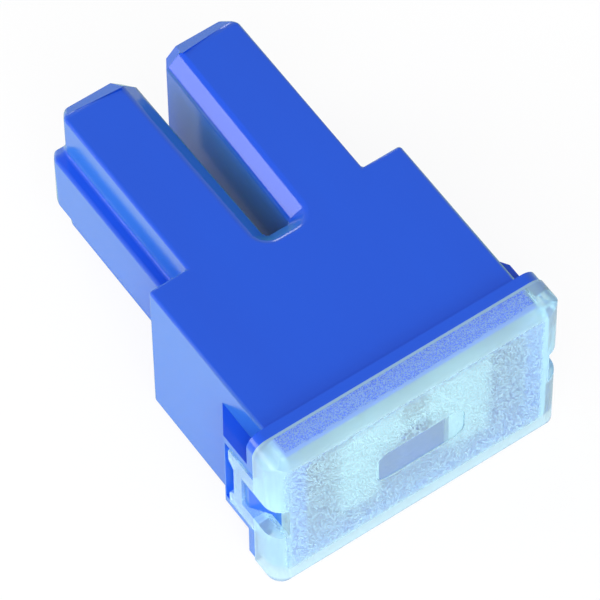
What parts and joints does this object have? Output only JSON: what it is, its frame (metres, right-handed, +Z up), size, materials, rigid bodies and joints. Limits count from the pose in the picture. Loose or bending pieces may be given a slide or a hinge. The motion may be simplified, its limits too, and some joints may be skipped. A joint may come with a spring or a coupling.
{
  "type": "fusible link",
  "caption": "Slow-blow automotive fusible link: blue moulded housing with hollow female-terminal legs, clip-on clear cover and one-piece tinned fuse element.",
  "frame": {"origin": "middle of the underside of the bounding box, lying on a broad face", "axes": "+Y along the legs, away from the clear cover; +Z up, square to the broad faces; X across the two legs"},
  "size_m": [0.023, 0.0318, 0.0142],
  "materials": {
    "housing_plastic": "blue glass-filled nylon, semi-gloss moulded skin",
    "clear_plastic": "clear polycarbonate with a fine grained front",
    "tinned_alloy": "bright tin plating over copper alloy",
    "tin": "dull cast tin"
  },
  "bodies": {
    "root": {"housing": "housing_plastic", "clear_cover": "clear_plastic", "fuse_element": "tinned_alloy", "tin_pellet": "tin"}
  },
  "joints": []
}
